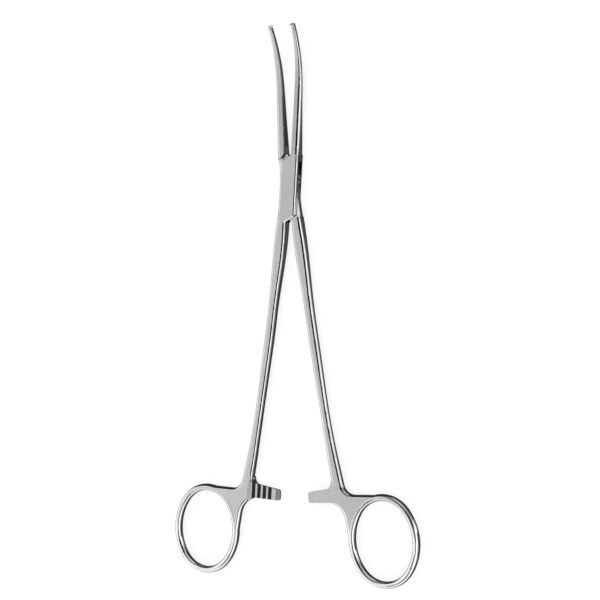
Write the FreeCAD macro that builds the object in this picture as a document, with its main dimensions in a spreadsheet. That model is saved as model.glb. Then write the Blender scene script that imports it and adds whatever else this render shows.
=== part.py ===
import FreeCAD, Part
import math
import os
import Sketcher

# Curved hemostatic forceps with finger rings, a box lock, a ratchet and 1x2 teeth.
# Each half is drawn as it lies when the jaws are closed: the pivot axis is at x = 0, y = 0,
# the jaws point along +Y, the rings along -Y, and z = 0 is the middle of the steel.
# The whole half is then turned about the pivot to the half-open rest pose and lifted,
# so that the back of the box lock lies on z = 0.

doc = FreeCAD.newDocument("hemostatic_forceps")
Vector = FreeCAD.Vector
AXIS_X = Vector(1, 0, 0)
AXIS_Y = Vector(0, 1, 0)
AXIS_Z = Vector(0, 0, 1)

# Driving sizes, in millimetres and degrees

SIZES = {
    # how far each half is turned out from closed in the rest pose
    "half_opening": 4.1,
    # box lock: two walls of the box half around the thin tongue of the other half
    "box_width": 7.0,
    "box_thick": 4.4,
    "box_edge_round": 0.9,
    "box_end_bevel": 0.35,
    "box_short_side": 9.6,
    "box_long_side": 12.1,
    "box_crotch_out": 0.6,
    "slot_root_out": 0.62,
    "slot_side_reach": 9.6,
    "tongue_thick": 1.9,
    "tongue_play": 0.05,
    "tongue_inset": 0.12,
    "tongue_end": 9.4,
    "tongue_side_reach": 1.6,
    "tongue_root_out": 0.38,
    "tongue_root_reach": 12.0,
    "tongue_tail_out": 0.7,
    "tongue_tail_reach": 12.8,
    "shoulder_side_reach": 10.0,
    "shoulder_bend_out": 2.2,
    "shoulder_bend_reach": 10.55,
    "shoulder_inner_out": 0.4,
    "shoulder_inner_reach": 13.5,
    "shoulder_round": 4.0,
    # how far every cut runs on past the steel that it cuts
    "cut_over": 1.5,
    # riveted pivot pin, its two heads ground flush with the faces of the box
    "pin_radius": 1.2,
    "pin_head_radius": 1.55,
    "pin_head_depth": 0.4,
    "pin_run_gap": 0.04,
    # jaws: seven sections along the middle line, which bends up towards the tips; the root
    # sits inside the box, and the places between neck and tip are shares of that length
    "bend_start": 36.5,
    "bend_radius": 44.0,
    "jaw_root_sunk": 4.1,
    "jaw_root_gap": 0.62,
    "jaw_root_width": 2.8,
    "jaw_root_height": 4.3,
    "jaw_neck_ahead": 0.9,
    "jaw_neck_gap": 0.58,
    "jaw_neck_width": 2.78,
    "jaw_neck_height": 4.15,
    "jaw_heel_share": 0.198,
    "jaw_heel_gap": 0.42,
    "jaw_heel_width": 2.6,
    "jaw_heel_height": 3.3,
    "jaw_middle_share": 0.4286,
    "jaw_middle_gap": 0.22,
    "jaw_middle_width": 2.42,
    "jaw_middle_height": 2.5,
    "jaw_bend_share": 0.659,
    "jaw_bend_gap": 0.07,
    "jaw_bend_width": 2.1,
    "jaw_bend_height": 1.85,
    "jaw_fore_share": 0.846,
    "jaw_fore_gap": 0.06,
    "jaw_fore_width": 1.65,
    "jaw_fore_height": 1.55,
    "jaw_tip_reach": 58.5,
    "jaw_tip_gap": 0.06,
    "jaw_tip_width": 1.2,
    "jaw_tip_height": 1.45,
    "jaw_back_share": 0.4,
    # 1x2 teeth at the tips: one tooth of the tongue half closes between two of the box half
    "tooth_across": 0.7,
    "tooth_length": 0.75,
    "tooth_back": 0.8,
    "tooth_row_height": 1.3,
    "tooth_height": 0.44,
    "tooth_side_gap": 0.08,
    "tooth_end_gap": 0.2,
    # shank: nine sections from the box to the ratchet; the places between neck and end are
    # shares of that length, and they bow in from the straight line between the two
    "shank_root_down": 4.0,
    "shank_root_out": 1.95,
    "shank_root_width": 2.8,
    "shank_root_thick": 4.3,
    "shank_neck_out": 2.22,
    "shank_neck_width": 3.6,
    "shank_neck_thick": 4.15,
    "shank_upper_share": 0.07,
    "shank_upper_bow": 0.26,
    "shank_upper_width": 4.2,
    "shank_upper_thick": 3.8,
    "shank_slope_share": 0.2287,
    "shank_slope_bow": 0.55,
    "shank_slope_width": 3.75,
    "shank_slope_thick": 3.2,
    "shank_middle_share": 0.4147,
    "shank_middle_bow": 0.83,
    "shank_middle_width": 3.3,
    "shank_middle_thick": 2.85,
    "shank_slim_share": 0.6335,
    "shank_slim_bow": 0.86,
    "shank_slim_width": 3.05,
    "shank_slim_thick": 2.65,
    "shank_lower_share": 0.8523,
    "shank_lower_bow": 0.61,
    "shank_lower_width": 3.15,
    "shank_lower_thick": 2.7,
    "shank_end_inset": 16.82,
    "shank_end_rise": 21.9,
    "shank_end_width": 3.95,
    "shank_foot_inset": 15.8,
    "shank_foot_rise": 14.9,
    "shank_foot_width": 4.2,
    "shank_foot_thinner": 0.1,
    "shank_edge_round": 0.95,
    # finger ring: an oval bar around an oval of four arcs
    "ring_out": 27.5,
    "ring_down": 125.4,
    "ring_half_width": 12.45,
    "ring_half_height": 15.13,
    "ring_end_radius": 11.2,
    "ring_bar_width": 2.4,
    "ring_bar_thick": 2.9,
    "ring_bar_round": 1.15,
    # web between shank and ring, placed from the middle of the ring: its outer edge runs to
    # the top of the ring, its inner edge to the side of the ring, and both edges are round
    "web_drop": 0.03,
    "web_edge_share": 0.4,
    "web_outer_start_inset": 15.15,
    "web_outer_start_rise": 22.2,
    "web_outer_bend_inset": 13.3,
    "web_outer_bend_rise": 16.35,
    "web_outer_round": 4.2,
    "web_inner_start_inset": 19.9,
    "web_inner_start_rise": 13.9,
    "web_inner_bend_inset": 14.8,
    "web_inner_bend_rise": 11.2,
    "web_inner_round": 7.0,
    "web_edge_inset": 0.33,
    "web_top_angle": 88.0,
    "web_side_angle": -5.0,
    # ratchet arms, one behind the other when closed, placed from the middle of the ring
    "arm_gap": 0.12,
    "arm_root_inset": 19.3,
    "arm_inside_inset": 16.9,
    "arm_root_rise": 18.7,
    "arm_tip_rise": 17.6,
    "arm_root_width": 5.1,
    "arm_tip_width": 3.8,
    "arm_fillet_rise": 2.6,
    "arm_fillet_lean": 0.6,
    "arm_root_round": 2.2,
    "arm_tip_round": 0.8,
    "box_arm_reach": 2.1,
    "tongue_arm_reach": 0.75,
    "seat_top_inset": 17.1,
    "seat_bottom_inset": 16.9,
    "nose_length": 1.5,
    "nose_depth": 0.75,
    "ratchet_pitch": 2.28,
    "ratchet_ramp": 1.5,
    "ratchet_depth": 0.6,
    "ratchet_first_inset": 19.6,
    "ratchet_teeth": 4,
}

# places on a piece of sketch geometry, and the sketch's own lines and origin

PLACES = ("edge", "start", "end", "centre")
START, END, CENTRE = (PLACES.index(place) for place in PLACES[1:])
LINES = ("none", "x line", "y line")
LINE_X, LINE_Y = (-LINES.index(line) for line in LINES[1:])
ORIGIN = LINE_X

# how close an edge passes to the spot that picks it, and where along a run the spot lies

TOUCH = 1e-4
SPOT_SHARE = 0.2

# straight runs that the root of the web makes along the middle of the ring's bar

RIM_STEPS = 4

sheet = doc.addObject("Spreadsheet::Sheet", "sizes")
for row, (alias, value) in enumerate(SIZES.items(), start=1):
    sheet.set(f"A{row}", alias)
    sheet.set(f"B{row}", str(value))
    sheet.setAlias(f"B{row}", alias)
doc.recompute()


def cell(alias):
    """The text that names a size of the sheet inside an expression."""
    return "sizes." + alias


def number(expression):
    """The value of an expression of the sheet, to place geometry before it is constrained."""
    value = sheet.evalExpression(expression)
    return float(getattr(value, "Value", value))


def origin_plane(body, role):
    for feature in body.Origin.OriginFeatures:
        if feature.Role == role:
            return feature
    raise ValueError(role)


def new_sketch(body, name, role, base=("0", "0", "0"), axis=AXIS_Z, angle="0"):
    """A sketch on one of the body's own planes, moved by base and turned about axis."""
    sketch = body.newObject("Sketcher::SketchObject", name)
    sketch.AttachmentSupport = [(origin_plane(body, role), "")]
    sketch.MapMode = "FlatFace"
    turned = number(angle)
    sketch.AttachmentOffset = FreeCAD.Placement(Vector(0, 0, 0), FreeCAD.Rotation(axis, turned))
    for letter, expression in zip("xyz", base):
        if expression != "0":
            sketch.setExpression(f"AttachmentOffset.Base.{letter}", expression)
    if turned:
        sketch.setExpression("AttachmentOffset.Rotation.Angle", angle)
    return sketch


def constrain(sketch, kind, *places):
    return sketch.addConstraint(Sketcher.Constraint(kind, *places))


def measure(sketch, kind, places, expression):
    """A dimension whose value follows an expression."""
    index = constrain(sketch, kind, *places, number(expression))
    sketch.setExpression(f"Constraints[{index}]", expression)
    return index


def pin_point(sketch, geometry, place, x_expression, y_expression):
    """Holds a point of the sketch at x, y from its origin."""
    measure(sketch, "DistanceX", (ORIGIN, START, geometry, place), x_expression)
    measure(sketch, "DistanceY", (ORIGIN, START, geometry, place), y_expression)


def rounded_bar(sketch, width, thick, radius):
    """A rectangle with four equal round corners, centred on the sketch's origin."""
    half_w = number(width) / 2
    half_t = number(thick) / 2
    r = number(radius)
    x, y = half_w - r, half_t - r
    ends = [
        (Vector(-x, -half_t, 0), Vector(x, -half_t, 0)),
        (Vector(half_w, -y, 0), Vector(half_w, y, 0)),
        (Vector(x, half_t, 0), Vector(-x, half_t, 0)),
        (Vector(-half_w, y, 0), Vector(-half_w, -y, 0)),
    ]
    centres = [Vector(x, -y, 0), Vector(x, y, 0), Vector(-x, y, 0), Vector(-x, -y, 0)]
    for corner in range(4):
        sketch.addGeometry(Part.LineSegment(*ends[corner]), False)
        circle = Part.Circle(centres[corner], AXIS_Z, r)
        begin = math.radians(-90 + 90 * corner)
        sketch.addGeometry(Part.ArcOfCircle(circle, begin, begin + math.pi / 2), False)
    for corner in range(4):
        line, arc, following = 2 * corner, 2 * corner + 1, (2 * corner + 2) % 8
        constrain(sketch, "Tangent", line, END, arc, START)
        constrain(sketch, "Tangent", arc, END, following, START)
        constrain(sketch, "Vertical" if corner % 2 else "Horizontal", line)
    for arc in (3, 5, 7):
        constrain(sketch, "Equal", 1, arc)
    constrain(sketch, "Symmetric", 1, CENTRE, 5, CENTRE, ORIGIN, START)
    bottom, right, top, left = range(0, 8, 2)
    measure(sketch, "DistanceX", (left, START, right, START), width)
    measure(sketch, "DistanceY", (bottom, START, top, START), thick)
    measure(sketch, "Radius", (1,), radius)


def jaw_section(sketch, width, height, radius, side):
    """A flat gripping face on the sketch's y axis and a back with two round corners."""
    w = number(width)
    half_h = number(height) / 2
    r = number(radius)
    points = [
        Vector(0, half_h, 0),
        Vector(0, -half_h, 0),
        Vector(side * (w - r), -half_h, 0),
        Vector(side * w, -half_h + r, 0),
        Vector(side * w, half_h - r, 0),
        Vector(side * (w - r), half_h, 0),
    ]
    diagonal = r * math.sqrt(0.5)
    low_middle = Vector(side * (w - r + diagonal), -half_h + r - diagonal, 0)
    high_middle = Vector(side * (w - r + diagonal), half_h - r + diagonal, 0)
    sketch.addGeometry(Part.LineSegment(points[0], points[1]), False)
    sketch.addGeometry(Part.LineSegment(points[1], points[2]), False)
    sketch.addGeometry(Part.Arc(points[2], low_middle, points[3]), False)
    sketch.addGeometry(Part.LineSegment(points[3], points[4]), False)
    sketch.addGeometry(Part.Arc(points[4], high_middle, points[5]), False)
    sketch.addGeometry(Part.LineSegment(points[5], points[0]), False)
    # an arc that the mirror turns the other way keeps its start at its counter-clockwise beginning
    first, last = (START, END) if side > 0 else (END, START)
    constrain(sketch, "Coincident", 0, END, 1, START)
    constrain(sketch, "Tangent", 1, END, 2, first)
    constrain(sketch, "Tangent", 2, last, 3, START)
    constrain(sketch, "Tangent", 3, END, 4, first)
    constrain(sketch, "Tangent", 4, last, 5, START)
    constrain(sketch, "Coincident", 5, END, 0, START)
    constrain(sketch, "Symmetric", 0, START, 0, END, LINE_X)
    constrain(sketch, "PointOnObject", 0, START, LINE_Y)
    constrain(sketch, "Horizontal", 1)
    constrain(sketch, "Vertical", 3)
    constrain(sketch, "Horizontal", 5)
    constrain(sketch, "Equal", 2, 4)
    measure(sketch, "DistanceX", (0, START, 3, START), f"{side} * {width}")
    measure(sketch, "DistanceY", (0, END, 0, START), height)
    measure(sketch, "Radius", (2,), radius)


def outline(sketch, points, closed=True):
    """Straight runs through points, each (x, y) or (x, y, radius of its round corner)."""
    places = [Vector(number(p[0]), number(p[1]), 0) for p in points]
    count = len(points)

    def is_round(i):
        return len(points[i]) == 3 and (closed or 0 < i < count - 1)

    def trims(i):
        """Where the round corner at point i touches the runs before and after it."""
        before, here, after = places[i - 1], places[i], places[(i + 1) % count]
        back = (before - here).normalize()
        on = (after - here).normalize()
        half = back.getAngle(on) / 2
        reach = number(points[i][2]) / math.tan(half)
        return here + back * reach, here + on * reach

    runs = count if closed else count - 1
    lines = []
    for i in range(runs):
        after = (i + 1) % count
        begin = trims(i)[1] if is_round(i) else places[i]
        finish = trims(after)[0] if is_round(after) else places[after]
        lines.append(sketch.addGeometry(Part.LineSegment(begin, finish), False))
    for i in range(count):
        here = lines[i] if i < runs else None
        before = lines[i - 1] if closed or i else None
        x, y = points[i][0], points[i][1]
        if is_round(i):
            radius = number(points[i][2])
            touch_in, touch_out = trims(i)
            bisector = (touch_in + touch_out) / 2 - places[i]
            half = (touch_in - places[i]).getAngle(bisector)
            centre = places[i] + bisector.normalize() * (radius / math.sin(half))
            middle = centre + (places[i] - centre).normalize() * radius
            arc = sketch.addGeometry(Part.Arc(touch_in, middle, touch_out), False)
            swapped = (touch_in - centre).cross(touch_out - centre).z < 0
            first, last = (END, START) if swapped else (START, END)
            constrain(sketch, "Tangent", before, END, arc, first)
            constrain(sketch, "Tangent", arc, last, here, START)
            measure(sketch, "Radius", (arc,), points[i][2])
            corner = sketch.addGeometry(Part.Point(places[i]), True)
            pin_point(sketch, corner, START, x, y)
            constrain(sketch, "PointOnObject", corner, START, before)
            constrain(sketch, "PointOnObject", corner, START, here)
        elif here is not None:
            pin_point(sketch, here, START, x, y)
            if before is not None:
                constrain(sketch, "Coincident", before, END, here, START)
        else:
            pin_point(sketch, before, END, x, y)


def pad(body, name, sketch, length, centred=False, backwards=False):
    feature = body.newObject("PartDesign::Pad", name)
    feature.Profile = sketch
    feature.setExpression("Length", length)
    feature.Midplane = centred
    feature.Reversed = backwards
    feature.Refine = True
    sketch.Visibility = False
    return feature


def pocket(body, name, sketch, length, centred=False, backwards=False):
    feature = body.newObject("PartDesign::Pocket", name)
    feature.Profile = sketch
    feature.setExpression("Length", length)
    feature.Midplane = centred
    feature.Reversed = backwards
    feature.Refine = True
    return feature


def loft(body, name, sketches):
    feature = body.newObject("PartDesign::AdditiveLoft", name)
    feature.Profile = sketches[0]
    feature.Sections = sketches[1:]
    feature.Refine = True
    return feature


def pipe(body, name, section, path):
    feature = body.newObject("PartDesign::AdditivePipe", name)
    feature.Profile = section
    feature.Spine = path
    feature.Refine = True
    return feature


SHANK_STATIONS = ["root", "neck", "upper", "slope", "middle", "slim", "lower", "end", "foot"]
JAW_STATIONS = ["root", "neck", "heel", "middle", "bend", "fore", "tip"]


def beside_ring_middle(name):
    """Distance out and distance down of a place that is set from the middle of the ring."""
    out = f"({cell('ring_out')} - {cell(name + '_inset')})"
    down = f"({cell('ring_down')} - {cell(name + '_rise')})"
    return out, down


def shank_place(station):
    """Distance out from the middle line and distance down from the pivot of a section."""
    if station == "root":
        return cell("shank_root_out"), cell("shank_root_down")
    neck_out, neck_down = cell("shank_neck_out"), cell("box_long_side")
    if station == "neck":
        return neck_out, neck_down
    if station in ("end", "foot"):
        return beside_ring_middle("shank_" + station)
    end_out, end_down = beside_ring_middle("shank_end")
    share, bow = cell(f"shank_{station}_share"), cell(f"shank_{station}_bow")
    out = f"({neck_out} + {share} * ({end_out} - {neck_out}) - {bow})"
    return out, f"({neck_down} + {share} * ({end_down} - {neck_down}))"


def shank_thick(station):
    """Thickness of a section; the last two follow the bar of the ring."""
    if station == "end":
        return cell("ring_bar_thick")
    if station == "foot":
        return f"{cell('ring_bar_thick')} - {cell('shank_foot_thinner')}"
    return cell(f"shank_{station}_thick")


def add_shank(body, side):
    """The tapering bar from the box lock down to the ratchet, on the side of its ring."""
    sections = []
    for station in SHANK_STATIONS:
        out, down = shank_place(station)
        name = "shank_" + station
        sketch = new_sketch(body, name.title(), "XZ_Plane", (f"{side} * {out}", "0", down))
        rounded_bar(sketch, cell(name + "_width"), shank_thick(station), cell("shank_edge_round"))
        sections.append(sketch)
    return loft(body, "Shank", sections)


def jaw_reach(station):
    """Distance of a section from the pivot along the middle line of the jaw."""
    if station == "root":
        return f"({cell('box_long_side')} - {cell('jaw_root_sunk')})"
    neck, tip = f"({cell('box_long_side')} + {cell('jaw_neck_ahead')})", cell("jaw_tip_reach")
    if station in ("neck", "tip"):
        return neck if station == "neck" else tip
    return f"({neck} + {cell(f'jaw_{station}_share')} * ({tip} - {neck}))"


def bend_place(reach):
    """Turn, y and z of a point at this reach along the jaw's middle line, as expressions."""
    start, radius = cell("bend_start"), cell("bend_radius")
    turn = f"max(0; {reach} - {start}) / {radius} * 180 / pi"
    y = f"(min({reach}; {start}) + {radius} * sin({turn}))"
    z = f"({radius} * (1 - cos({turn})))"
    return turn, y, z


def add_jaw(body, side):
    """The jaw, flat inside and round behind, that bends up out of the plane of the rings."""
    sections = []
    for station in JAW_STATIONS:
        name = "jaw_" + station
        turn, y, z = bend_place(jaw_reach(station))
        base = (f"{side} * {cell(name + '_gap')}", z, f"-{y}")
        sketch = new_sketch(body, name.title(), "XZ_Plane", base, AXIS_X, turn)
        width, height = cell(name + "_width"), cell(name + "_height")
        radius = f"{cell('jaw_back_share')} * min({width}; {height})"
        jaw_section(sketch, width, height, radius, side)
        sections.append(sketch)
    return loft(body, "Jaw", sections)


def tip_sketch(body, name, role):
    """A sketch at the end of the jaw, across it or along its height, that leans as it does."""
    turn, y, z = bend_place(cell("jaw_tip_reach"))
    base = ("0", z, f"-{y}") if role == "XZ_Plane" else ("0", y, z)
    return new_sketch(body, name, role, base, AXIS_X, turn)


def add_tooth(body, side, height):
    """A pointed wedge at the end of the jaw, that reaches across the middle plane."""
    face = f"{side} * {cell('jaw_tip_gap')}"
    back = f"{side} * ({cell('jaw_tip_gap')} + {cell('tooth_back')})"
    shape = tip_sketch(body, "ToothShape", "XY_Plane")
    outline(shape, [
        (back, "0"),
        (f"-{side} * {cell('tooth_across')}", "0"),
        (face, f"-{cell('tooth_length')}"),
        (back, f"-{cell('tooth_length')}"),
    ])
    return pad(body, "Tooth", shape, height, centred=True)


def cut_tip(body, side, bands):
    """Takes away bands of the jaw's height at its end, each from one height to another."""
    far = f"{side} * ({cell('jaw_tip_width')} + {cell('cut_over')})"
    near = f"-{side} * ({cell('tooth_across')} + {cell('cut_over')})"
    shape = tip_sketch(body, "TipCutShape", "XZ_Plane")
    for low, high in bands:
        outline(shape, [(near, low), (far, low), (far, high), (near, high)])
    depth = f"{cell('tooth_length')} + {cell('tooth_end_gap')}"
    return pocket(body, "TipCut", shape, depth, backwards=True)


def add_ring(body, side):
    """The finger ring: one oval bar carried around an oval of four tangent arcs."""
    out, down = f"{side} * {cell('ring_out')}", f"-{cell('ring_down')}"
    path = new_sketch(body, "RingPath", "XY_Plane", (out, down, "0"))
    a, b = number(cell("ring_half_height")), number(cell("ring_half_width"))
    r = number(cell("ring_end_radius"))
    big = ((a - r) ** 2 + b * b - r * r) / (2 * (b - r))
    end_y, flank_x = a - r, big - b
    swing = math.atan2(flank_x, end_y)
    quarter = math.pi / 2
    arcs = [
        (0, -end_y, r, -quarter, swing - quarter),
        (-flank_x, 0, big, swing - quarter, quarter - swing),
        (0, end_y, r, quarter - swing, quarter + swing),
        (flank_x, 0, big, quarter + swing, 3 * quarter - swing),
        (0, -end_y, r, 3 * quarter - swing, 3 * quarter),
    ]
    for x, y, radius, begin, finish in arcs:
        circle = Part.Circle(Vector(x, y, 0), AXIS_Z, radius)
        path.addGeometry(Part.ArcOfCircle(circle, begin, finish), False)
    for arc in range(5):
        constrain(path, "Tangent" if arc < 4 else "Coincident", arc, END, (arc + 1) % 5, START)
    constrain(path, "PointOnObject", 0, CENTRE, LINE_Y)
    constrain(path, "PointOnObject", 0, START, LINE_Y)
    constrain(path, "Coincident", 0, CENTRE, 4, CENTRE)
    constrain(path, "PointOnObject", 1, CENTRE, LINE_X)
    constrain(path, "PointOnObject", 2, CENTRE, LINE_Y)
    constrain(path, "Equal", 0, 2)
    constrain(path, "Equal", 1, 3)
    measure(path, "DistanceY", (0, START, ORIGIN, START), cell("ring_half_height"))
    measure(path, "Radius", (0,), cell("ring_end_radius"))
    measure(path, "Radius", (1,), ring_flank_radius())
    lowest = f"-{cell('ring_down')} - {cell('ring_half_height')}"
    section = new_sketch(body, "RingSection", "YZ_Plane", (lowest, "0", out))
    bar = (cell("ring_bar_width"), cell("ring_bar_thick"), cell("ring_bar_round"))
    rounded_bar(section, *bar)
    return pipe(body, "Ring", section, path)


def ring_flank_radius():
    """Radius of the long arcs, from both half sizes of the oval and the radius of its ends."""
    a, b, r = (cell("ring_" + name) for name in ("half_height", "half_width", "end_radius"))
    return f"(({a} - {r}) ^ 2 + {b} ^ 2 - {r} ^ 2) / (2 * ({b} - {r}))"


def on_ring(angle, side):
    """A point of the ring's middle line, at this angle up from its inner side."""
    x = f"{side} * ({cell('ring_out')} - {cell('ring_half_width')} * cos({angle}))"
    y = f"{cell('ring_half_height')} * sin({angle}) - {cell('ring_down')}"
    return x, y


def add_web(body, side):
    """The flat web that carries the ring, with its two long edges rounded."""

    def place(name):
        out, down = beside_ring_middle(name)
        return f"{side} * {out}", f"-{down}"

    def beside_ring(angle):
        """A point between the ring's middle line and its outer edge."""
        reach = f"({cell('ring_bar_width')} / 2 - {cell('web_edge_inset')})"
        x = f"{side} * ({cell('ring_out')} - ({cell('ring_half_width')} + {reach}) * cos({angle}))"
        y = f"({cell('ring_half_height')} + {reach}) * sin({angle}) - {cell('ring_down')}"
        return x, y

    top, inner = cell("web_top_angle"), cell("web_side_angle")
    between = f"({top} - {inner})"
    shares = [f"{step} / {RIM_STEPS}" for step in range(RIM_STEPS + 1)]
    rim = [on_ring(f"({inner} + {share} * {between})", side) for share in shares]
    outer_bend = place("web_outer_bend") + (cell("web_outer_round"),)
    inner_bend = place("web_inner_bend") + (cell("web_inner_round"),)
    outer_start, inner_start = place("web_outer_start"), place("web_inner_start")
    inner_end, outer_end = beside_ring(inner), beside_ring(top)
    shape = new_sketch(body, "WebShape", "XY_Plane")
    corners = [outer_start, inner_start, inner_bend, inner_end, *rim, outer_end, outer_bend]
    outline(shape, corners)
    web = pad(body, "WebBlank", shape, f"{cell('ring_bar_thick')} - 2 * {cell('web_drop')}", True)
    doc.recompute()
    half = (number(cell("ring_bar_thick")) - 2 * number(cell("web_drop"))) / 2
    spots = []
    for start, bend in ((outer_start, outer_bend), (inner_start, inner_bend)):
        near = Vector(number(start[0]), number(start[1]), 0)
        far = Vector(number(bend[0]), number(bend[1]), 0)
        spot = near + (far - near) * SPOT_SHARE
        spots += [Vector(spot.x, spot.y, half), Vector(spot.x, spot.y, -half)]
    radius = f"{cell('web_edge_share')} * {cell('ring_bar_thick')}"
    return round_edges(body, "WebEdges", web, spots, radius)


def edges_at(shape, spots):
    """Names of the edges of the shape that pass through the spots."""
    names = []
    for spot in spots:
        vertex = Part.Vertex(spot)
        near = [edge.distToShape(vertex)[0] < TOUCH for edge in shape.Edges]
        found = [f"Edge{i}" for i, touches in enumerate(near, 1) if touches]
        if not found:
            raise ValueError(f"no edge at {spot}")
        names += found
    return names


def round_edges(body, name, base, spots, radius):
    feature = body.newObject("PartDesign::Fillet", name)
    feature.Base = (base, edges_at(base.Shape, spots))
    feature.setExpression("Radius", radius)
    return feature


def bevel_edges(body, name, base, spots, size):
    feature = body.newObject("PartDesign::Chamfer", name)
    feature.Base = (base, edges_at(base.Shape, spots))
    feature.setExpression("Size", size)
    return feature


def add_box(body):
    """The block of the box half: slanted ends, rounded long sides."""
    side, crotch = f"{cell('box_width')} / 2", cell("box_crotch_out")
    short, long = cell("box_short_side"), cell("box_long_side")
    shape = new_sketch(body, "BoxShape", "XY_Plane")
    outline(shape, [
        (f"-{side}", short),
        (f"-{side}", f"-{long}"),
        (f"-{crotch}", f"-{long}"),
        (side, f"-{short}"),
        (side, long),
        (crotch, long),
    ])
    block = pad(body, "BoxBlank", shape, cell("box_thick"), True)
    doc.recompute()
    half_w, half_t = number(side), number(cell("box_thick")) / 2
    long_edges = [Vector(x, 0, z) for x in (-half_w, half_w) for z in (-half_t, half_t)]
    rounded = round_edges(body, "BoxSides", block, long_edges, cell("box_edge_round"))
    doc.recompute()
    y = (number(short) + number(long)) / 2
    x = (half_w + number(crotch)) / 2 - number(crotch)
    slants = [Vector(-x * turn, y * turn, z) for turn in (1, -1) for z in (-half_t, half_t)]
    return bevel_edges(body, "BoxEnds", rounded, slants, cell("box_end_bevel"))


def cut_slot(body):
    """The slot that the tongue of the other half passes through and swings in."""
    side, over = f"{cell('box_width')} / 2", cell("cut_over")
    far, end = f"{side} + {over}", f"{cell('box_long_side')} + {over}"
    root, start = cell("slot_root_out"), cell("slot_side_reach")
    crotch = cell("box_long_side")
    shape = new_sketch(body, "SlotShape", "XY_Plane")
    half = [
        (f"-({far})", end),
        (f"-({far})", f"-{start}"),
        (f"-({side})", f"-{start}"),
        (f"-{root}", f"-{crotch}"),
        (f"-{root} / 2", f"-({end})"),
    ]
    turned = [(f"-({x})", f"-({y})") for x, y in half]
    outline(shape, half + turned)
    thick = f"{cell('tongue_thick')} + 2 * {cell('tongue_play')}"
    return pocket(body, "Slot", shape, thick, centred=True)


def add_tongue(body):
    """The thin middle of the other half, that sits in the slot and carries the pin hole."""
    side = f"{cell('box_width')} / 2 - {cell('tongue_inset')}"
    shape = new_sketch(body, "TongueShape", "XY_Plane")
    half = [
        (f"-({side})", cell("tongue_end")),
        (f"-({side})", f"-{cell('tongue_side_reach')}"),
        (f"-{cell('tongue_root_out')}", f"-{cell('tongue_root_reach')}"),
        (cell("tongue_tail_out"), f"-{cell('tongue_tail_reach')}"),
    ]
    turned = [(f"-({x})", f"-({y})") for x, y in half]
    outline(shape, half + turned)
    return pad(body, "Tongue", shape, cell("tongue_thick"), centred=True)


def cut_shoulders(body):
    """Thins the half to the tongue between its two shoulders, in front and behind."""
    far = f"{cell('box_width')} / 2 + 3 * {cell('cut_over')}"
    half = [
        (f"-({far})", cell("shoulder_side_reach")),
        (f"-({far})", f"-{cell('shoulder_inner_reach')}"),
        (f"-{cell('shoulder_inner_out')}", f"-{cell('shoulder_inner_reach')}"),
        (cell("shoulder_bend_out"), f"-{cell('shoulder_bend_reach')}", cell("shoulder_round")),
    ]
    turned = [(f"-({p[0]})", f"-({p[1]})", *p[2:]) for p in half]
    for name, sign, backwards in (("Front", "", True), ("Back", "-", False)):
        base = ("0", "0", f"{sign}{cell('tongue_thick')} / 2")
        shape = new_sketch(body, name + "ShoulderShape", "XY_Plane", base)
        outline(shape, half + turned)
        pocket(body, name + "Shoulders", shape, cell("box_thick"), backwards=backwards)


def pin_profile(sketch, radius, head_radius, head_depth, half_length):
    """Half of the outline of a rivet with a flush cone at each end, beside its axis."""
    r, head, depth, half = (f"({value})" for value in (radius, head_radius, head_depth, half_length))
    outline(sketch, [
        ("0", f"-{half}"),
        (head, f"-{half}"),
        (r, f"-({half} - {depth})"),
        (r, f"{half} - {depth}"),
        (head, half),
        ("0", half),
    ])


def turned_about_pin(body, kind, name, radius):
    """A rivet-shaped solid or hole around the pivot axis."""
    sketch = new_sketch(body, name + "Profile", "XZ_Plane")
    half = f"{cell('box_thick')} / 2"
    pin_profile(sketch, radius, cell("pin_head_radius"), cell("pin_head_depth"), half)
    feature = body.newObject(kind, name)
    feature.Profile = sketch
    feature.ReferenceAxis = (sketch, ["V_Axis"])
    feature.Angle = 360
    return feature


def drill_tongue(body):
    hole = new_sketch(body, "HoleShape", "XY_Plane")
    radius = f"{cell('pin_radius')} + {cell('pin_run_gap')}"
    hole.addGeometry(Part.Circle(Vector(0, 0, 0), AXIS_Z, number(radius)), False)
    constrain(hole, "Coincident", 0, CENTRE, ORIGIN, START)
    measure(hole, "Radius", (0,), radius)
    return pocket(body, "Hole", hole, cell("box_thick"), centred=True)


def arm_rise(name):
    """Height of the arm's upper edge at its root or tip, from the pivot."""
    return f"({cell(f'arm_{name}_rise')} - {cell('ring_down')})"


def crest_height(level):
    """Height of the arm's toothed face: below the middle plane for level -1, above for 1."""
    return f"{level} * {cell('arm_gap')} / 2"


def add_arm(body, side, reach, level):
    """The ratchet arm, behind the middle plane for level -1 and in front of it for level 1."""
    root = f"{side} * ({cell('ring_out')} - {cell('arm_root_inset')})"
    inside = f"{side} * ({cell('ring_out')} - {cell('arm_inside_inset')})"
    tip, tip_round = f"-{side} * {reach}", cell("arm_tip_round")
    high = f"{arm_rise('root')} + {cell('arm_fillet_rise')}"
    shape = new_sketch(body, "ArmShape", "XY_Plane", ("0", "0", crest_height(level)))
    outline(shape, [
        (inside, high),
        (f"{root} + {side} * {cell('arm_fillet_lean')}", high),
        (root, arm_rise("root"), cell("arm_root_round")),
        (tip, arm_rise("tip"), tip_round),
        (tip, f"{arm_rise('tip')} - {cell('arm_tip_width')}", tip_round),
        (inside, f"{arm_rise('root')} - {cell('arm_root_width')}"),
    ])
    thick = f"({cell('ring_bar_thick')} - {cell('arm_gap')}) / 2 - {cell('web_drop')}"
    return pad(body, "Arm", shape, thick, backwards=level < 0)


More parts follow.
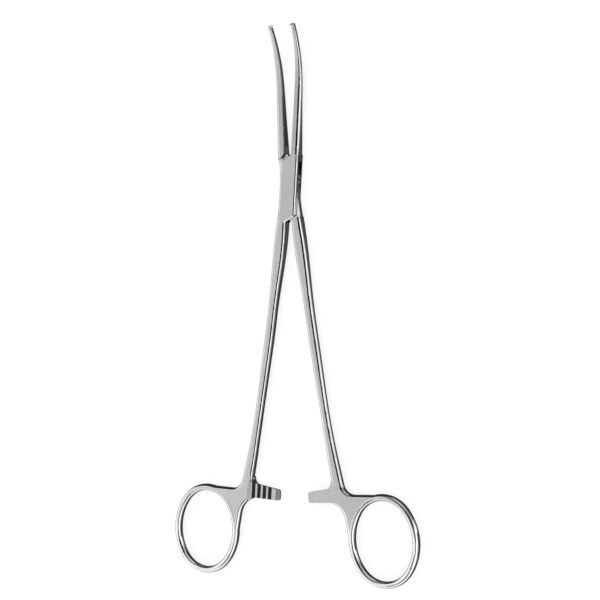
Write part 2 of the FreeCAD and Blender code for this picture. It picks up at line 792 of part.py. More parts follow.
def cut_seat(body, side, reach, level):
    """Clears the steel beside the arm's toothed face, back to a wall on the web."""
    high, low = arm_rise("root"), f"{arm_rise('root')} - {cell('arm_root_width')}"
    beyond = f"-{side} * ({reach} + {cell('cut_over')})"
    wall_high = f"{side} * ({cell('ring_out')} - {cell('seat_top_inset')})"
    wall_low = f"{side} * ({cell('ring_out')} - {cell('seat_bottom_inset')})"
    shape = new_sketch(body, "SeatShape", "XY_Plane", ("0", "0", crest_height(level)))
    outline(shape, [
        (wall_high, high),
        (wall_low, f"{low} - 2 * {cell('cut_over')}"),
        (beyond, f"{low} - 2 * {cell('cut_over')}"),
        (beyond, high),
    ])
    return pocket(body, "Seat", shape, cell("ring_bar_thick"), backwards=level < 0)


def cut_ratchet(body, side, reach, level):
    """Saw teeth across the arm: gentle on the side of its tip's travel, steep behind it."""
    wide = f"{cell('arm_root_width')} + 2 * {cell('cut_over')}"
    down = f"{cell('arm_root_width')} / 2 - {arm_rise('root')}"
    crest, over = crest_height(level), f"{level} * {cell('cut_over')}"
    length, depth = cell("nose_length"), cell("nose_depth")
    first = f"({cell('ring_out')} - {cell('ratchet_first_inset')})"
    cuts = []
    for tooth in range(int(number(cell("ratchet_teeth")))):
        steep = f"{side} * ({first} - {tooth} * {cell('ratchet_pitch')})"
        gentle = f"{steep} + {side} * {cell('ratchet_ramp')}"
        cuts.append((gentle, steep, f"{crest} + {level} * {cell('ratchet_depth')}"))
    begin = f"-{side} * ({reach} - {length})"
    beyond = f"-{side} * ({reach} + {length})"
    cuts.append((begin, beyond, f"{crest} + {level} * 2 * {depth}"))
    for order, (shallow, deep, floor) in enumerate(cuts):
        shape = new_sketch(body, f"Notch{order}Shape", "XZ_Plane", ("0", "0", down))
        outline(shape, [
            (shallow, f"{crest} - {over}"),
            (deep, f"{crest} - {over}"),
            (deep, floor),
            (shallow, crest),
        ])
        pocket(body, f"Notch{order}", shape, wide, centred=True)


def check(body):
    """Stops if any feature of the body failed or its shape isn't one valid solid."""
    for thing in doc.Objects:
        if "Invalid" in thing.State or "Error" in thing.State:
            raise RuntimeError(f"{thing.Label} failed: {thing.State}")
    shape = body.Shape
    if shape.isNull() or not shape.isValid() or len(shape.Solids) != 1:
        raise RuntimeError(f"{body.Label} isn't one valid solid")
    return shape


def finish(body, angle):
    """Turns the half about the pivot to the rest pose and sets the box back on z = 0."""
    body.Placement = FreeCAD.Placement(Vector(0, 0, 0), FreeCAD.Rotation(AXIS_Z, number(angle)))
    body.setExpression("Placement.Base.z", f"{cell('box_thick')} / 2")
    body.setExpression("Placement.Rotation.Angle", angle)
    doc.recompute()
    return check(body)


# Box half: left shank and ring, box, right jaw with two teeth

female = doc.addObject("PartDesign::Body", "female_half")
female.Label = "female_half"
add_web(female, -1)
add_ring(female, -1)
add_box(female)
add_shank(female, -1)
add_jaw(female, 1)
add_tooth(female, 1, cell("tooth_row_height"))
between_teeth = f"({cell('tooth_height')} / 2 + {cell('tooth_side_gap')})"
cut_tip(female, 1, [(f"-{between_teeth}", between_teeth)])
cut_slot(female)
turned_about_pin(female, "PartDesign::Groove", "PinSeat", cell("pin_radius"))
add_arm(female, -1, cell("box_arm_reach"), -1)
cut_seat(female, -1, cell("box_arm_reach"), -1)
cut_ratchet(female, -1, cell("box_arm_reach"), -1)
finish(female, f"-{cell('half_opening')}")

# Tongue half: right shank and ring, tongue, left jaw with one tooth

male = doc.addObject("PartDesign::Body", "male_half")
male.Label = "male_half"
add_web(male, 1)
add_ring(male, 1)
add_shank(male, 1)
add_jaw(male, -1)
inner, outer = f"{cell('tooth_height')} / 2", f"({cell('jaw_tip_height')} / 2 + {cell('cut_over')})"
cut_tip(male, -1, [(f"-{outer}", f"-{inner}"), (inner, outer)])
add_tooth(male, -1, cell("tooth_height"))
cut_shoulders(male)
add_tongue(male)
drill_tongue(male)
add_arm(male, 1, cell("tongue_arm_reach"), 1)
cut_seat(male, 1, cell("tongue_arm_reach"), 1)
cut_ratchet(male, 1, cell("tongue_arm_reach"), 1)
finish(male, cell("half_opening"))

# Pivot pin, riveted into the box half

pin = doc.addObject("PartDesign::Body", "pivot_pin")
pin.Label = "pivot_pin"
turned_about_pin(pin, "PartDesign::Revolution", "Rivet", cell("pin_radius"))
finish(pin, f"-{cell('half_opening')}")

os.makedirs("parts", exist_ok=True)
for body in (female, male, pin):
    body.Shape.exportStep(f"parts/{body.Label}.step")
    box = body.Shape.BoundBox
    print(body.Label, round(body.Shape.Volume, 2), box)
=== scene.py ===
# %% [markdown]
# # Curved forceps of satin and polished steel
#
# The object is a pair of curved hemostatic forceps: two steel halves that cross each other in
# a box lock, and the rivet that they turn on. The solids come finished from the CAD part, so
# this lesson gives them what a grinder and a polisher give the real ones: a satin grain on the
# flats, a mirror polish on the round edges, serrations in the jaws, and a light to see it by.

import math

import bpy
import numpy as np
from mathutils import Matrix, Vector
from mathutils.bvhtree import BVHTree


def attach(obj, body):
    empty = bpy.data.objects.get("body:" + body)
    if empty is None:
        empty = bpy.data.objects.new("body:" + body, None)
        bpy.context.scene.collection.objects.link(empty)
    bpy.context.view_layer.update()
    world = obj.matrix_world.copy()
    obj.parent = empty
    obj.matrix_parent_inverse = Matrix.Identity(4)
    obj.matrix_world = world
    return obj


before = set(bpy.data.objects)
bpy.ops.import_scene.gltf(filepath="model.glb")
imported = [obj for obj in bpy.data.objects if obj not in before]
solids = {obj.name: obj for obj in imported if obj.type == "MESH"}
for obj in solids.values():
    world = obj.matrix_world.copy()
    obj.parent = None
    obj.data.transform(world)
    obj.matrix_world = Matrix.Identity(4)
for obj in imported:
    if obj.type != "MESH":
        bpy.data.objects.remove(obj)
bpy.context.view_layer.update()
print("solids:", sorted(solids))

# %% [markdown]
# ## The place of the camera
#
# The photograph shows the forceps upright and turned a little: the camera looks from thirty
# degrees on the right, so that each bar shows its flat front and also its right side. The ring
# that is nearer to the camera looks hardly wider than the other, so the lens is long and stands
# well back. The camera is turned first and then moved back along its own axis, from the middle
# of the pivot. The scene is in metres, and MM is the length of a millimetre in it.

# %% Camera
MM = 0.001
MIDDLE = 2.2  # height of the middle of the box lock, in mm
LOOK_FROM_RIGHT = math.radians(30.0)
NOD, TILT = -0.008390, -0.007870
BACK, ACROSS, DOWN = 0.6177, 0.00340, -0.03964
FOCAL_LENGTH, SENSOR_WIDTH = 104.26, 36.0

scene = bpy.context.scene
turned = (
    Matrix.Rotation(LOOK_FROM_RIGHT, 3, "Y")
    @ Matrix.Rotation(NOD, 3, "X")
    @ Matrix.Rotation(TILT, 3, "Z")
)
pivot = Vector((0, 0, MIDDLE * MM))
lens = bpy.data.cameras.new("long lens")
lens.sensor_width = SENSOR_WIDTH
lens.lens = FOCAL_LENGTH
camera = bpy.data.objects.new("camera", lens)
camera.matrix_world = Matrix.Translation(pivot + turned @ Vector((ACROSS, DOWN, BACK))) @ turned.to_4x4()
scene.collection.objects.link(camera)
scene.camera = camera
print("camera at", [round(c, 4) for c in camera.matrix_world.translation])

# %% [markdown]
# ## Helpers for finishes
#
# A finish is a chain of small steps, such as a grain, how strongly it shows, and where. Each
# step is a node of the material. The first helper adds a node and fills its inputs by name,
# with a number or with the output of an earlier step. The others say in one line what comes
# up again and again: arithmetic, a smooth change, the parts and the length of a vector.

# %% Helpers for finishes


def step(tree, kind, inputs=(), **settings):
    """A node with its settings, and its inputs given by name as values or as other outputs."""
    made = tree.nodes.new("ShaderNode" + kind)
    for name, value in settings.items():
        setattr(made, name, value)
    for name, value in dict(inputs).items():
        if isinstance(value, bpy.types.NodeSocket):
            tree.links.new(value, made.inputs[name])
        else:
            made.inputs[name].default_value = value
    return made


def calculate(tree, operation, *values):
    """One step of arithmetic on numbers or outputs."""
    return step(tree, "Math", enumerate(values), operation=operation).outputs[0]


def more(tree, value, mask, amount):
    """A value with an amount added to it where a mask shows, and less of it where it fades."""
    return calculate(tree, "MULTIPLY_ADD", mask, amount, value)


def between(tree, value, low, high, start=0.0, finish=1.0):
    """Runs smoothly from start to finish as the value goes from low to high, and stays there."""
    inputs = {"Value": value, "From Min": low, "From Max": high, "To Min": start, "To Max": finish}
    return step(tree, "MapRange", inputs, interpolation_type="SMOOTHSTEP").outputs[0]


def parts(tree, vector):
    """The X, Y and Z of a vector, as outputs by name."""
    return step(tree, "SeparateXYZ", {0: vector}).outputs


def length(tree, vector):
    """How long a vector is."""
    return step(tree, "VectorMath", {0: vector}, operation="LENGTH").outputs["Value"]


def grey(tree, shade):
    """A colour with the same shade in red, green and blue."""
    return step(tree, "CombineColor", {"Red": shade, "Green": shade, "Blue": shade}).outputs[0]


def blank_finish(name):
    """A metal finish to build on, its node tree, its shader and the piece's own coordinates."""
    finish = bpy.data.materials.new(name)
    finish.use_nodes = True
    tree = finish.node_tree
    shader = tree.nodes["Principled BSDF"]
    shader.inputs["Metallic"].default_value = 1.0
    return finish, tree, shader, step(tree, "TexCoord").outputs


helpers = (step, calculate, more, between, parts, length, grey, blank_finish)
print("helpers for nodes:", ", ".join(helper.__name__ for helper in helpers))

# %% [markdown]
# ## Masks
#
# A mask is a number between 0 and 1 that says where a finish shows. Masks are multiplied to
# keep only what they share, and taken from 1 to turn them around.

# %% Helpers for masks


def both(tree, one, other):
    """What two masks share."""
    return calculate(tree, "MULTIPLY", one, other)


def outside(tree, mask):
    """1 where a mask is 0, and 0 where it is 1."""
    return calculate(tree, "SUBTRACT", 1.0, mask)


def near(tree, value, place, full, none):
    """1 where a value is within full of a place, and 0 from none of it on."""
    off = calculate(tree, "ABSOLUTE", calculate(tree, "SUBTRACT", value, place))
    return between(tree, off, full, none, 1.0, 0.0)


print("helpers for masks:", ", ".join(helper.__name__ for helper in (both, outside, near)))

# %% [markdown]
# ## Where the steel is flat and where it is round
#
# On a real instrument the flat faces are ground and brushed to a satin, so that they don't
# dazzle, and the round edges and rings are polished. The two meet in a clear line. The way a
# face points tells them apart: on a flat front or back the normal points straight along Z. The
# normal is the piece's own, so the finish stays in place when the forceps open. On the jaws
# the satin follows the bend: there the normal may lean along the jaw, but not to the sides. The
# satin of the web fades out where the ring's bar begins, because the rings are polished all
# around, and the faces inside the slot of the box lock aren't brushed either.

# %% Flats and rounds
FLAT_FROM, FLAT_FULL = 0.984, 0.997
RING_POLISHED, WEB_SATIN = -125.0 * MM, -116.0 * MM
JAW_FROM, JAW_FULL = 30.0 * MM, 34.0 * MM
SLOT_HALF, SLOT_CLEAR = 1.1 * MM, 1.2 * MM
SLOT_END, SLOT_PASSED = 13.0 * MM, 14.0 * MM


def flat_mask(tree, coordinates):
    """1 on faces that look forwards or backwards, 0 on rounds, sides, rings and in the slot."""
    normal = parts(tree, coordinates["Normal"])
    place = parts(tree, coordinates["Object"])
    straight = calculate(tree, "ABSOLUTE", normal["Z"])
    upright = length(tree, step(tree, "CombineXYZ", {"Y": normal["Y"], "Z": normal["Z"]}).outputs[0])
    on_jaw = between(tree, place["Y"], JAW_FROM, JAW_FULL)
    allowed = more(tree, straight, on_jaw, calculate(tree, "SUBTRACT", upright, straight))
    facing = between(tree, allowed, FLAT_FROM, FLAT_FULL)
    level = near(tree, place["Z"], MIDDLE * MM, SLOT_HALF, SLOT_CLEAR)
    in_slot = both(tree, level, near(tree, place["Y"], 0.0, SLOT_END, SLOT_PASSED))
    off_rings = between(tree, place["Y"], RING_POLISHED, WEB_SATIN)
    return both(tree, both(tree, facing, outside(tree, in_slot)), off_rings)


print("flat where the normal's Z passes", FLAT_FULL)

# %% [markdown]
# ## The grain of the grinding
#
# Satin comes from a belt that runs along the piece: long, very fine scratches, a few millimetres
# in length and a fraction of a millimetre apart. A noise that is squeezed across the bar and
# stretched along it gives such lines. The two halves lie turned in the picture, so the pattern
# is turned with each of them. A second noise, the same in all directions, gives the fine mottle
# of bead blasting. The third is large and slow: it stands for the hand of the grinder, who never
# takes quite the same off everywhere.

# %% Grain
LINES_ACROSS, LINES_ALONG = 2000.0, 90.0
MOTTLE, CLOUD = 1300.0, 110.0
BOX_LEAN, TONGUE_LEAN = 9.5, -9.5


def grain(tree, coordinates, lean):
    """Grinding lines, turned to lie along one half, mottle and clouds, each around 0."""
    turn = {"Vector": coordinates["Object"], "Rotation": (0.0, 0.0, math.radians(lean))}
    along_bar = step(tree, "Mapping", turn).outputs[0]
    squeeze = {"Vector": along_bar, "Scale": (LINES_ACROSS, LINES_ALONG, LINES_ACROSS)}
    drawn_out = step(tree, "Mapping", squeeze).outputs[0]
    lines = {"Vector": drawn_out, "Scale": 1.0, "Detail": 4.0, "Roughness": 0.65}
    mottle = {"Vector": coordinates["Object"], "Scale": MOTTLE, "Detail": 2.0, "Roughness": 0.5}
    cloud = {"Vector": coordinates["Object"], "Scale": CLOUD, "Detail": 2.0, "Roughness": 0.5}
    noises = [step(tree, "TexNoise", kind).outputs["Fac"] for kind in (lines, mottle, cloud)]
    return [calculate(tree, "SUBTRACT", noise, 0.5) for noise in noises]


print("grinding lines about", round(1000 / LINES_ACROSS, 2), "mm apart")

# %% [markdown]
# ## The steel of the halves
#
# Stainless steel is a neutral metal that gives back about four fifths of the light. The satin
# flats spread it and the rounds keep it together, so the roughness is high on the flats and
# very low on the rounds. Spread wide, the satin evens out the black and the white cards of a
# studio, so no card shows in it. The lines and the mottle change its shade a little and tip the
# surface a very little, and the lines change its roughness too, which is what makes a brushed
# face shimmer. The rim where a flat ends and the rings are painted brighter, as painted
# highlights. The deep corners of the lock and of the ratchet get painted shade, a darker
# colour, and are a little rougher too.

# %% Half steel
SATIN, POLISH = 0.42, 0.085
STEEL, CLOUDING = 0.78, 0.12
STREAKS, SPOTS = 0.16, 0.24
RIM_FROM, RIM_FULL, RIM_PAINTED_HIGHLIGHT = 0.80, 0.90, 0.05
# Rims and rings get a brighter colour: painted highlights.
RING_FULL, RING_FROM, RING_PAINTED_HIGHLIGHT = -118.0 * MM, -109.0 * MM, 0.17
LOCK_END, LOCK_SHADED, LOCK_CLEAR, LOCK_SHARE = 11.6 * MM, 0.4 * MM, 1.6 * MM, 0.5
ARM_LEVEL, ARM_HALF, ARM_CLEAR = -108.5 * MM, 2.5 * MM, 3.5 * MM
ARM_REACH, ARM_PASSED = 11.0 * MM, 12.0 * MM
# The corner mask darkens the colour there as painted shade, and makes the steel a little rougher.
PAINTED_CORNER_SHADE, DULL_ROUGH = -0.34, 0.06
SATIN_CHANGE, POLISH_CHANGE = 0.12, 0.06
ROUND_RELIEF, FLAT_RELIEF, RELIEF_DEPTH, MOTTLE_SHARE = 0.02, 0.10, 0.02 * MM, 0.5


def corner_shade_mask(tree, coordinates):
    """1 close to the ratchet teeth and a share of it at the box lock's ends: painted shade goes there."""
    place = parts(tree, coordinates["Object"])
    lock = near(tree, length(tree, coordinates["Object"]), LOCK_END, LOCK_SHADED, LOCK_CLEAR)
    level = near(tree, place["Y"], ARM_LEVEL, ARM_HALF, ARM_CLEAR)
    teeth = both(tree, level, near(tree, place["X"], 0.0, ARM_REACH, ARM_PASSED))
    return calculate(tree, "MAXIMUM", calculate(tree, "MULTIPLY", lock, LOCK_SHARE), teeth)


def half_steel(name, lean):
    """Satin flats, polished rounds, painted highlights on rims and rings, painted shade in corners."""
    finish, tree, shader, coordinates = blank_finish(name)
    lines, mottle, cloud = grain(tree, coordinates, lean)
    flat = flat_mask(tree, coordinates)
    rounded = outside(tree, flat)
    facing = calculate(tree, "ABSOLUTE", parts(tree, coordinates["Normal"])["Z"])
    rim = both(tree, between(tree, facing, RIM_FROM, RIM_FULL), rounded)
    painted_shade_and_dull = both(tree, corner_shade_mask(tree, coordinates), rounded)
    level = parts(tree, coordinates["Object"])["Y"]
    ring = both(tree, between(tree, level, RING_FULL, RING_FROM, 1.0, 0.0), rounded)

    shade = more(tree, STEEL, cloud, CLOUDING)
    # Painted highlight: a brighter colour along the rim where a flat ends.
    shade = more(tree, shade, rim, RIM_PAINTED_HIGHLIGHT)
    shade = more(tree, shade, both(tree, lines, flat), STREAKS)
    shade = more(tree, shade, both(tree, mottle, flat), SPOTS)
    # Painted shade: a darker colour in the deep corners of the lock and the ratchet.
    shade = more(tree, shade, painted_shade_and_dull, PAINTED_CORNER_SHADE)
    # Painted highlight: a brighter colour on the rings.
    shade = more(tree, shade, ring, RING_PAINTED_HIGHLIGHT)
    tree.links.new(grey(tree, shade), shader.inputs["Base Color"])

    satin = more(tree, SATIN, lines, SATIN_CHANGE)
    polish = more(tree, POLISH, cloud, POLISH_CHANGE)
    rough = more(tree, both(tree, satin, flat), polish, rounded)
    tree.links.new(more(tree, rough, painted_shade_and_dull, DULL_ROUGH), shader.inputs["Roughness"])

    relief = more(tree, lines, mottle, MOTTLE_SHARE)
    strength = between(tree, flat, 0.0, 1.0, ROUND_RELIEF, FLAT_RELIEF)
    bump = {"Height": relief, "Strength": strength, "Distance": RELIEF_DEPTH}
    tree.links.new(step(tree, "Bump", bump).outputs[0], shader.inputs["Normal"])
    return finish


box_steel = half_steel("satin steel, box half", BOX_LEAN)
tongue_steel = half_steel("satin steel, tongue half", TONGUE_LEAN)
print("finishes:", box_steel.name, "and", tongue_steel.name)

# %% [markdown]
# ## The steel of the rivet
#
# The rivet is peened over and ground flush with the box, so that it can hardly be seen. What
# is left is a finish that turns: the last polishing wheel leaves fine rings around the axis.
# The distance from the axis, sent through a sine, gives them.

# %% Pin steel
RINGS_PER_METRE, RING_CHANGE = 9000.0, 0.03
PIN_SHADE, PIN_SPECKLE = 0.74, 0.08


def pin_steel(name):
    """Speckled steel with fine turned rings around the axis of the rivet."""
    finish, tree, shader, coordinates = blank_finish(name)
    place = parts(tree, coordinates["Object"])
    radius = length(tree, step(tree, "CombineXYZ", {"X": place["X"], "Y": place["Y"]}).outputs[0])
    rings = calculate(tree, "SINE", calculate(tree, "MULTIPLY", radius, RINGS_PER_METRE * math.tau))
    speckle = step(tree, "TexNoise", {"Vector": coordinates["Object"], "Scale": MOTTLE}).outputs["Fac"]
    tree.links.new(grey(tree, more(tree, PIN_SHADE, speckle, PIN_SPECKLE)), shader.inputs["Base Color"])
    tree.links.new(more(tree, SATIN, rings, RING_CHANGE), shader.inputs["Roughness"])
    return finish


rivet_steel = pin_steel("rivet steel")
print("rings", round(1000 / RINGS_PER_METRE, 3), "mm apart")

# %% [markdown]
# ## Dressing the solids
#
# The solids keep their own shapes, because sizes belong to the CAD part. Only the material in
# their one slot is changed.

# %% Dress the solids
for name, finish in (("female_half", box_steel), ("male_half", tongue_steel), ("pivot_pin", rivet_steel)):
    solids[name].data.materials.clear()
    solids[name].data.materials.append(finish)
    print(name, "wears", finish.name)

# %% [markdown]
# ## The serrated gripping faces
#
# The inner faces of the jaws are cut with fine cross serrations, about one to the millimetre,
# so that they hold tissue without crushing it. Each set is made here as one thin closed slab,
# sunk into the face of its jaw, whose outside is a row of ridges. The slab is a surface over
# two parameters: how far along the jaw, and how far around the slab's section. Along the jaw
# the path runs straight and then bends up in an arc, as the jaws do. The ridges get lower
# towards the tips, where the jaws nearly touch when they are closed. All of it is worked out
# in millimetres on the closed forceps, and then turned out to the rest pose.

# %% The path of a jaw
BEND_START, BEND_RADIUS, TIP = 36.5, 44.0, 58.5
HALF_OPENING = math.radians(4.1)


def jaw_path(reach):
    """Middle line: straight to the bend, then an arc. Returns y, z, and the lean of the arc."""
    lean = np.maximum(0.0, reach - BEND_START) / BEND_RADIUS
    y = np.minimum(reach, BEND_START) + BEND_RADIUS * np.sin(lean)
    return y, BEND_RADIUS * (1 - np.cos(lean)), lean


def to_rest(points, side):
    """Turns points of a closed half out to the rest pose, lifts them, and makes them metres."""
    opening = -side * HALF_OPENING
    c, s = math.cos(opening), math.sin(opening)
    turn = np.array([[c, -s, 0.0], [s, c, 0.0], [0.0, 0.0, 1.0]])
    return (points @ turn.T + [0.0, 0.0, MIDDLE]) * MM


print("the tips rise", round(float(jaw_path(np.array(TIP))[1]), 2), "mm above the flat")

# %% [markdown]
# The slab has to lie exactly on its jaw. A ray that starts a little on the other side of the
# middle plane and runs sideways into the solid says how far away the face is, at a few dozen
# places along the jaw.

# %% Where the gripping face is
FIRST_RIDGE, LAST_RIDGE, PITCH = 15.0, 56.5, 1.0
RAYS, RAY_START, RAY_LENGTH = 43, 2.0, 5.0


def face_distance(solid, side, reach):
    """Distance from the closed middle plane to the jaw's gripping face, by rays, in mm."""
    surface = BVHTree.FromObject(solid, bpy.context.evaluated_depsgraph_get())
    y, z = jaw_path(reach)[:2]
    start = to_rest(np.stack([np.full_like(y, -RAY_START * side), y, z], -1), side)
    finish = to_rest(np.stack([np.full_like(y, RAY_START * side), y, z], -1), side)
    found = []
    for a, b in zip(start, finish):
        hit = surface.ray_cast(Vector(a), Vector(b - a).normalized(), RAY_LENGTH * MM)[3]
        found.append(hit / MM - RAY_START)
    return np.array(found)


samples = np.linspace(FIRST_RIDGE, LAST_RIDGE, RAYS)
jaws = {"female_half": (1, "box_side", box_steel), "male_half": (-1, "tongue_side", tongue_steel)}
gaps = {name: face_distance(solids[name], jaw[0], samples) for name, jaw in jaws.items()}
for name, distance in gaps.items():
    print(name, "face from", round(distance[0], 2), "to", round(distance[-1], 2), "mm off the middle")

# %% [markdown]
# The helpers for surfaces come first, and serve for the tent and the floor as well. A surface
# over two parameters is a grid of points in rows, each row closed around: the quads between the
# rows come from the numbers of the points, without a loop.

# %% Helpers for surfaces


def add_surface(name, points, faces):
    """A mesh object at the origin, from an array of points and a list of faces."""
    mesh = bpy.data.meshes.new(name)
    mesh.from_pydata(points.reshape(-1, 3).tolist(), [], faces)
    made = bpy.data.objects.new(name, mesh)
    scene.collection.objects.link(made)
    return made


def between_rows(rows, around):
    """Numbers of the points, of their next points around, and the quads between the rows."""
    here = np.arange(rows * around).reshape(rows, around)
    after = np.roll(here, -1, axis=1)
    return here, after, np.stack([here[:-1], after[:-1], after[1:], here[1:]], -1).reshape(-1, 4)


def closed_tube(rows, around, flip):
    """Faces between the rows of a tube, and one face over each end."""
    here, _, quads = between_rows(rows, around)
    ends = [here[0][::-1].tolist(), here[-1].tolist()]
    if flip:
        quads = quads[:, ::-1]
        ends = [end[::-1] for end in ends]
    return quads.tolist() + ends


helpers = (add_surface, between_rows, closed_tube)
print("helpers for surfaces:", ", ".join(helper.__name__ for helper in helpers))

# %% [markdown]
# Now the slab itself. Its section has two corners sunk in the jaw, two that stand just proud of
# the face at its edges, and between these a low crown, a parabola across the face, that rises
# and falls along the jaw as a triangle wave. Crown and ridges together stay within their own
# half of the gap between the closed jaws. The ends are closed with one face each.

# %% Serrations
HIGHEST, SHARE_OF_GAP, RIDGE_SHARE = 0.40, 0.75, 0.5
SUNK, PROUD, SIDE_INSET, TOP_SHARE = 0.3, 0.012, 0.05, 0.97
JAW_PLACES, JAW_HEIGHTS = [13.0, 22.0, 32.5, 43.0, 51.5, TIP], [4.15, 3.3, 2.5, 1.85, 1.55, 1.45]
STEPS_PER_RIDGE = 8
CROWN_PLACES = np.linspace(-1, 1, 9)


def serrations(name, solid_name):
    """A ridged slab in the gripping face of one jaw, which rides with its half."""
    side, body, finish = jaws[solid_name]
    count = int((LAST_RIDGE - FIRST_RIDGE) / PITCH * STEPS_PER_RIDGE) + 1
    reach = np.linspace(FIRST_RIDGE, LAST_RIDGE, count)
    y, z, lean = jaw_path(reach)
    gap = np.interp(reach, samples, gaps[solid_name])
    half = np.interp(reach, JAW_PLACES, JAW_HEIGHTS) / 2 - SIDE_INSET
    height = np.minimum(HIGHEST, SHARE_OF_GAP * gap - PROUD)
    fold = np.abs(((reach - FIRST_RIDGE) / PITCH) % 1.0 * 2 - 1)
    crown = (1 - RIDGE_SHARE) * (1 - CROWN_PLACES[None, :] ** 2) + RIDGE_SHARE * fold[:, None]
    crown[:, [0, -1]] = 0
    top = (gap - PROUD)[:, None] - height[:, None] * crown
    sunk = (gap + SUNK)[:, None]
    across = np.hstack([sunk, top, sunk]) * side
    up = half[:, None] * np.concatenate([[-1], CROWN_PLACES * TOP_SHARE, [1]])[None, :]
    back, rise = up * np.sin(lean)[:, None], up * np.cos(lean)[:, None]
    points = np.stack([across, y[:, None] - back, z[:, None] + rise], -1)
    slab = add_surface(name, to_rest(points, side), closed_tube(count, up.shape[1], side < 0))
    slab.data.materials.append(finish)
    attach(slab, body)
    print(name, len(slab.data.polygons), "faces,", int((LAST_RIDGE - FIRST_RIDGE) / PITCH), "ridges")


serrations("right_jaw_serrations", "female_half")
serrations("left_jaw_serrations", "male_half")

# %% [markdown]
# ## What the steel mirrors
#
# Polished steel has no colour of its own: what is seen on it is the room. A photographer puts a
# tent around such an instrument, white cards on some sides and black on others, so that each
# edge gets its bright and its dark line. The tent here is a large sphere that only mirrors see.
# Six lists of cards hang in it, one above the other, each around the long axis of the forceps:
# a light one at the bottom, one that the bent tips mirror, those that the rings, the shanks and
# the jaws mirror, and a dark one at the top. Each entry is an angle in degrees and how bright
# the tent is there, where 1 is white. An angle of 0 is straight in front of the forceps and 90
# is on their right. The list of lists says between which heights each one takes over from the
# one below, from -1 at the bottom of the sphere to 1 at its top.

# %% The cards in the tent
BRIGHTEST = 1.6
BOTTOM = [
    (-180, 0.25), (-120, 0.60), (-60, 0.82), (-30, 1.00), (0, 1.25), (30, 1.30), (60, 1.00),
    (100, 0.60), (130, 0.25),
]
BY_TIPS = [
    (-180, 0.03), (-150, 0.20), (-125, 0.60), (-100, 0.95), (-60, 0.84), (-24, 0.74), (-16, 0.10),
    (-6, 0.03), (18, 0.05), (28, 1.00), (70, 1.20), (90, 0.60), (105, 0.25), (120, 0.10),
    (140, 0.04), (160, 0.02),
]
BY_RINGS = [
    (-180, 0.05), (-158, 0.06), (-108, 0.08), (-90, 0.45), (-76, 1.20), (-62, 1.15), (-43, 0.90),
    (-34, 0.72), (-24, 0.72), (-15, 0.95), (-9, 0.90), (-4, 0.03), (16, 0.03), (27, 0.90),
    (38, 1.35), (62, 1.30), (72, 0.42), (90, 0.36), (106, 0.24), (120, 0.10), (138, 0.02),
    (158, 0.04),
]
BY_SHANKS = [
    (-180, 0.20), (-155, 0.20), (-122, 0.22), (-98, 0.50), (-76, 0.88), (-60, 0.94), (-24, 0.84),
    (-18, 0.10), (-12, 0.00), (22, 0.00), (30, 0.50), (40, 1.25), (66, 1.30), (78, 0.55),
    (96, 0.16), (116, 0.03), (134, 0.04), (148, 0.08), (158, 0.06), (168, 0.02),
]
BY_JAWS = [
    (-180, 0.02), (-155, 0.10), (-120, 0.16), (-98, 0.50), (-76, 0.88), (-60, 0.94), (-24, 0.84),
    (-17, 0.06), (-10, 0.00), (34, 0.02), (44, 0.25), (58, 1.15), (90, 1.30), (108, 0.90),
    (120, 0.60), (136, 0.28), (149, 0.10), (158, 0.03), (166, 0.00),
]
TOP = [
    (-180, 0.04), (-60, 0.02), (-40, 0.03), (-15, 0.25), (10, 0.60), (30, 0.60), (60, 0.40),
    (95, 0.20), (120, 0.06), (150, 0.02),
]
HIGHER_LISTS = [
    (-0.94, -0.76, BY_TIPS), (-0.56, -0.46, BY_RINGS), (-0.22, -0.19, BY_SHANKS),
    (0.03, 0.09, BY_JAWS), (0.24, 0.50, TOP),
]
MIX_SHARE, MIX_FIRST, MIX_SECOND, MIXED = 0, 6, 7, 2  # the mix node's sockets for colours


def brightness(tree, share, stops):
    """A ramp around the tent, whose first value comes again at its end."""
    ramp = step(tree, "ValToRGB", {"Fac": share})
    entries = ramp.color_ramp.elements
    entries.remove(entries[0])
    for order, (angle, value) in enumerate(stops + [(180, stops[0][1])]):
        position = (angle + 180) / 360
        entry = entries[0] if order == 0 else entries.new(position)
        entry.position = position
        entry.color = (value / BRIGHTEST,) * 3 + (1.0,)
    return ramp.outputs["Color"]


def tent_cloth(name):
    """A cloth that glows as the lists say, blended by height from one list to the next."""
    cloth = bpy.data.materials.new(name)
    cloth.use_nodes = True
    tree = cloth.node_tree
    tree.nodes.clear()
    spot = parts(tree, step(tree, "TexCoord").outputs["Object"])
    angle = calculate(tree, "ARCTAN2", spot["X"], spot["Z"])
    share = calculate(tree, "MULTIPLY_ADD", angle, 1 / math.tau, 0.5)
    mixed = brightness(tree, share, BOTTOM)
    for low, high, stops in HIGHER_LISTS:
        above = between(tree, spot["Y"], low, high)
        inputs = {MIX_SHARE: above, MIX_FIRST: mixed, MIX_SECOND: brightness(tree, share, stops)}
        mixed = step(tree, "Mix", inputs, data_type="RGBA").outputs[MIXED]
    light = step(tree, "Emission", {"Color": mixed, "Strength": BRIGHTEST}).outputs[0]
    step(tree, "OutputMaterial", {"Surface": light})
    return cloth


cloth = tent_cloth("tent cloth")
print("lists of cards above the bottom one:", len(HIGHER_LISTS))

# %% [markdown]
# The sphere is a surface over two angles, with its poles on the long axis. Each pole is one
# point, closed by triangles. It is a stage piece: it isn't part of the object. Only mirrors see
# it, so it throws no light and no shadow of its own.

# %% The sphere of the tent
TENT_RADIUS = 1.0
RIBS, BELTS = 96, 48


def sphere(radius):
    """Points at radius times sin and cos of two angles, without doubles at seam or poles."""
    turn = np.linspace(0, math.tau, RIBS, endpoint=False)
    rise = np.linspace(-math.pi / 2, math.pi / 2, BELTS + 1)[1:-1]
    a, b = np.meshgrid(turn, rise)
    belts = np.stack([np.cos(b) * np.sin(a), np.sin(b), np.cos(b) * np.cos(a)], -1).reshape(-1, 3)
    return np.vstack([belts, [[0.0, -1.0, 0.0], [0.0, 1.0, 0.0]]]) * radius


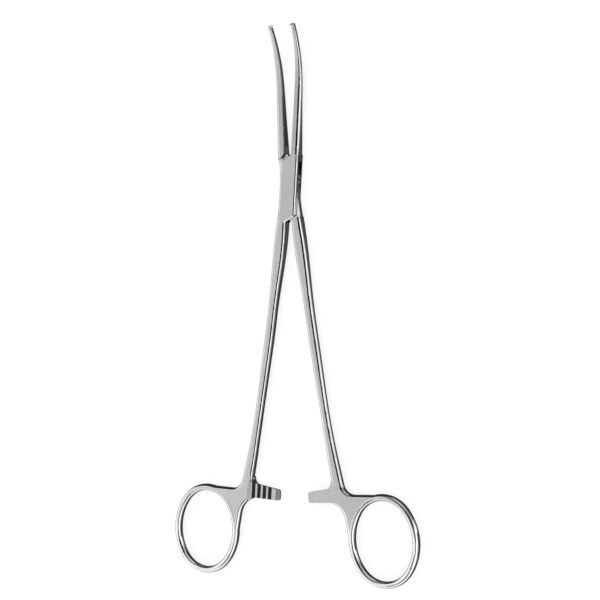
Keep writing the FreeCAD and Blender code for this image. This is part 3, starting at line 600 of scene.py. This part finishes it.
here, after, quads = between_rows(BELTS - 1, RIBS)
bottom_pole, top_pole = here.size, here.size + 1
fans = [(bottom_pole, int(b), int(a)) for a, b in zip(here[0], after[0])]
fans += [(top_pole, int(a), int(b)) for a, b in zip(here[-1], after[-1])]
tent = add_surface("tent", sphere(TENT_RADIUS), quads.tolist() + fans)
tent.data.materials.append(cloth)
tent.visible_camera = tent.visible_diffuse = tent.visible_shadow = tent.visible_transmission = False
print("tent of", len(tent.data.polygons), "faces")

# %% [markdown]
# ## A white floor and an even sky
#
# The forceps lie on white paper. It is white in the picture because of its own colour and a
# glow that is seen but lights nothing, not because more light falls on it, so a faint shadow
# stays under the steel. Mirrors look past the paper, into the tent. The sky is an even white,
# and the same for every ray.

# %% Floor and sky
PAPER, PAPER_GLOW = 0.24, 0.80
FLOOR_HALF = 1.5
WHITE = (1.0, 1.0, 1.0, 1.0)


def white_paper(name):
    """Dull paper with a glow that is seen, straight or in a mirror or glass, but lights nothing."""
    paper = bpy.data.materials.new(name)
    paper.use_nodes = True
    tree = paper.node_tree
    shader = tree.nodes["Principled BSDF"]
    shader.inputs["Base Color"].default_value = (PAPER, PAPER, PAPER, 1.0)
    shader.inputs["Roughness"].default_value = 1.0
    shader.inputs["Specular IOR Level"].default_value = 0.0
    shader.inputs["Emission Color"].default_value = WHITE
    seen = step(tree, "LightPath").outputs
    mirrored = calculate(tree, "MAXIMUM", seen["Is Glossy Ray"], seen["Is Transmission Ray"])
    straight = calculate(tree, "MAXIMUM", seen["Is Camera Ray"], mirrored)
    glowing = calculate(tree, "MULTIPLY", straight, PAPER_GLOW)
    tree.links.new(glowing, shader.inputs["Emission Strength"])
    return paper


sky = bpy.data.worlds.new("even sky")
scene.world = sky
sky.use_nodes = True
sky.node_tree.nodes["Background"].inputs["Color"].default_value = WHITE
sky.node_tree.nodes["Background"].inputs["Strength"].default_value = 1.0
scene.view_settings.view_transform = "Standard"

corners = np.array([[-1.0, -1.0, 0.0], [1.0, -1.0, 0.0], [1.0, 1.0, 0.0], [-1.0, 1.0, 0.0]])
floor = add_surface("floor", corners * FLOOR_HALF, [(0, 1, 2, 3)])
floor.data.materials.append(white_paper("white paper"))
floor.visible_glossy = False
print("paper", PAPER, "and glow", PAPER_GLOW)
